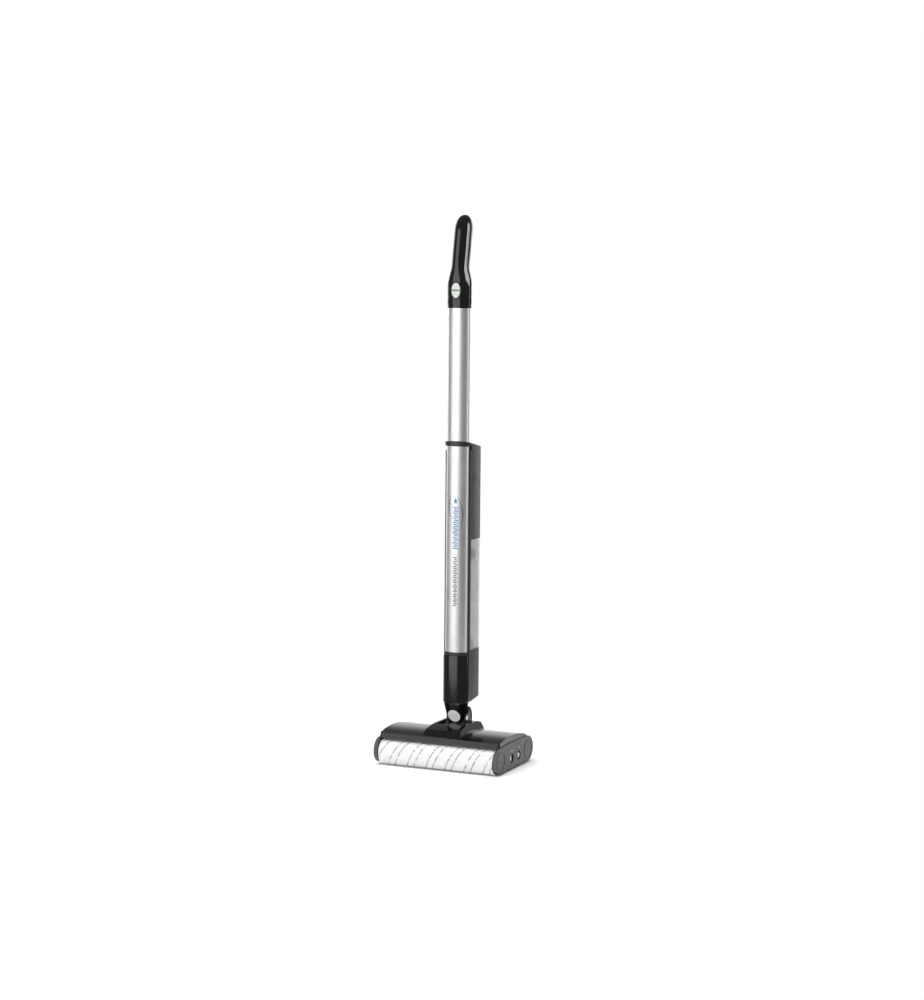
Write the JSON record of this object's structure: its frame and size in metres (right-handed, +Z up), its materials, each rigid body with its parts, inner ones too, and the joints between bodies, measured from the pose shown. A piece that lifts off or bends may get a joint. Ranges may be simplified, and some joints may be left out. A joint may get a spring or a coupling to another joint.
{
  "type": "wet dry floor scrubber",
  "caption": "Cordless wet and dry floor scrubber: twin counter-rotating mop rollers in a floor head, tilting and swivelling neck, stick with water tank, battery and upright grip.",
  "frame": {"origin": "on the floor, below the middle of the floor head", "axes": "+Z up, -Y the front with the lamp and buttons, +X the user's end of the head with the drawer"},
  "size_m": [0.295, 0.2, 1.1999],
  "materials": {
    "board_green": "circuit board",
    "bumper_grey": "satin soft-touch grey",
    "cap_grey": "satin dark grey plastic",
    "cell": "wrapped battery cell",
    "gear_white": "natural acetal",
    "gloss_black": "glossy black ABS",
    "inlay": "light grey soft inlay",
    "inner_black": "moulded black nylon",
    "led": "green light bar",
    "lens": "frosted lens",
    "microfibre": "white microfibre pile with grey stripes",
    "pole_aluminium": "satin anodised",
    "satin_dark": "satin dark grey plastic",
    "seal": "soft black rubber",
    "silver_panel": "silver coated aluminium",
    "steel": "brushed",
    "tank_clear": "smoked translucent plastic",
    "white_plastic": "white plastic"
  },
  "bodies": {
    "head": {"head_chassis": "inner_black", "head_cover": "gloss_black", "front_bumper": "bumper_grey", "left_end_cap": "cap_grey", "saddle": "gloss_black", "swivel_pin": "steel", "drive_motor": "steel", "front_wringer_bar": "inner_black", "rear_wringer_bar": "inner_black", "front_spray_bar": "inner_black", "rear_spray_bar": "inner_black"},
    "front_roller": {"front_roller_core": "inner_black", "front_roller_sleeve": "microfibre", "front_roller_gear": "gear_white"},
    "rear_roller": {"rear_roller_core": "inner_black", "rear_roller_sleeve": "microfibre", "rear_roller_gear": "gear_white"},
    "idler_a": {"idler_gear_a": "gear_white"},
    "idler_b": {"idler_gear_b": "gear_white"},
    "motor_rotor": {"motor_gear": "steel"},
    "idler_c": {"idler_gear_c": "gear_white"},
    "drawer": {"drawer_end_cap": "cap_grey", "dirty_water_tray": "satin_dark", "front_stub_pin": "steel", "rear_stub_pin": "steel"},
    "front_tab": {"front_release_tab": "white_plastic"},
    "rear_tab": {"rear_release_tab": "white_plastic"},
    "neck": {"neck_yoke": "satin_dark", "tilt_pin": "steel"},
    "stick": {"spine_frame": "inner_black", "front_panel": "silver_panel", "lower_collar": "satin_dark", "lower_front_housing": "gloss_black", "lower_rear_housing": "satin_dark", "charging_socket": "inner_black", "housing_screws": "steel", "control_board": "board_green", "water_pump": "inner_black", "top_cap": "satin_dark", "pole_tube": "pole_aluminium", "handle_front_shell": "gloss_black", "handle_rear_shell": "gloss_black", "right_grip_inlay": "inlay", "left_grip_inlay": "inlay", "button_bezel": "satin_dark", "indicator_strip": "led", "handle_screws": "steel", "lamp_lens": "lens", "lamp_board": "white_plastic"},
    "tank": {"water_tank": "tank_clear"},
    "filler": {"filler_cap": "satin_dark", "filler_seal": "seal"},
    "battery": {"battery_case": "satin_dark", "battery_cells": "cell"},
    "battery_latch": {"battery_latch": "inner_black"},
    "power_button": {"power_button": "white_plastic"},
    "spray_button": {"spray_button": "white_plastic"}
  },
  "joints": [
    {"name": "front_roller_spin", "type": "hinge", "parent": "head", "child": "front_roller", "pos_m": [0, -0.072, 0.028], "axis": [1, 0, 0], "continuous": true},
    {"name": "rear_roller_spin", "type": "hinge", "parent": "head", "child": "rear_roller", "pos_m": [0, 0.072, 0.028], "axis": [1, 0, 0], "continuous": true},
    {"name": "idler_a_spin", "type": "hinge", "parent": "head", "child": "idler_a", "pos_m": [0, -0.0432, 0.028], "axis": [1, 0, 0], "continuous": true},
    {"name": "idler_b_spin", "type": "hinge", "parent": "head", "child": "idler_b", "pos_m": [0, -0.0144, 0.028], "axis": [1, 0, 0], "continuous": true},
    {"name": "motor_spin", "type": "hinge", "parent": "head", "child": "motor_rotor", "pos_m": [0, 0.0144, 0.028], "axis": [1, 0, 0], "continuous": true},
    {"name": "idler_c_spin", "type": "hinge", "parent": "head", "child": "idler_c", "pos_m": [0, 0.0432, 0.028], "axis": [1, 0, 0], "continuous": true},
    {"name": "drawer_slide", "type": "slide", "parent": "head", "child": "drawer", "axis": [1, 0, 0], "range_m": [0, 0.205]},
    {"name": "front_tab_press", "type": "slide", "parent": "drawer", "child": "front_tab", "axis": [0, 1, 0], "range_m": [0, 0.0034], "stiffness_N_per_m": 600},
    {"name": "rear_tab_press", "type": "slide", "parent": "drawer", "child": "rear_tab", "axis": [0, -1, 0], "range_m": [0, 0.0034], "stiffness_N_per_m": 600},
    {"name": "swivel", "type": "hinge", "parent": "head", "child": "neck", "pos_m": [0, 0.02, 0.0685], "axis": [0, 1, 0], "range_deg": [-18, 18]},
    {"name": "tilt", "type": "hinge", "parent": "neck", "child": "stick", "pos_m": [0, 0.02, 0.098], "axis": [-1, 0, 0], "range_deg": [0, 60]},
    {"name": "tank_slide", "type": "slide", "parent": "stick", "child": "tank", "axis": [0, 0.9998, -0.0209], "range_m": [0, 0.085]},
    {"name": "filler_turn", "type": "hinge", "parent": "tank", "child": "filler", "pos_m": [0, 0.08646, 0.45369], "axis": [0, 0.9998, -0.0209], "range_deg": [0, 90]},
    {"name": "battery_slide", "type": "slide", "parent": "stick", "child": "battery", "axis": [0, 0.9998, -0.0209], "range_m": [0, 0.085]},
    {"name": "battery_latch_press", "type": "slide", "parent": "battery", "child": "battery_latch", "axis": [0, -0.9998, 0.0209], "range_m": [0, 0.0019], "stiffness_N_per_m": 600},
    {"name": "power_press", "type": "slide", "parent": "stick", "child": "power_button", "axis": [0, 0.9998, -0.0209], "range_m": [0, 0.0012], "stiffness_N_per_m": 900},
    {"name": "spray_press", "type": "slide", "parent": "stick", "child": "spray_button", "axis": [0, 0.9998, -0.0209], "range_m": [0, 0.0012], "stiffness_N_per_m": 900}
  ],
  "couplings": [
    {"joint": "rear_roller_spin", "follows": "front_roller_spin", "ratio": -1},
    {"joint": "idler_a_spin", "follows": "front_roller_spin", "ratio": -1},
    {"joint": "idler_b_spin", "follows": "front_roller_spin", "ratio": 1},
    {"joint": "motor_spin", "follows": "front_roller_spin", "ratio": -1},
    {"joint": "idler_c_spin", "follows": "front_roller_spin", "ratio": 1}
  ]
}
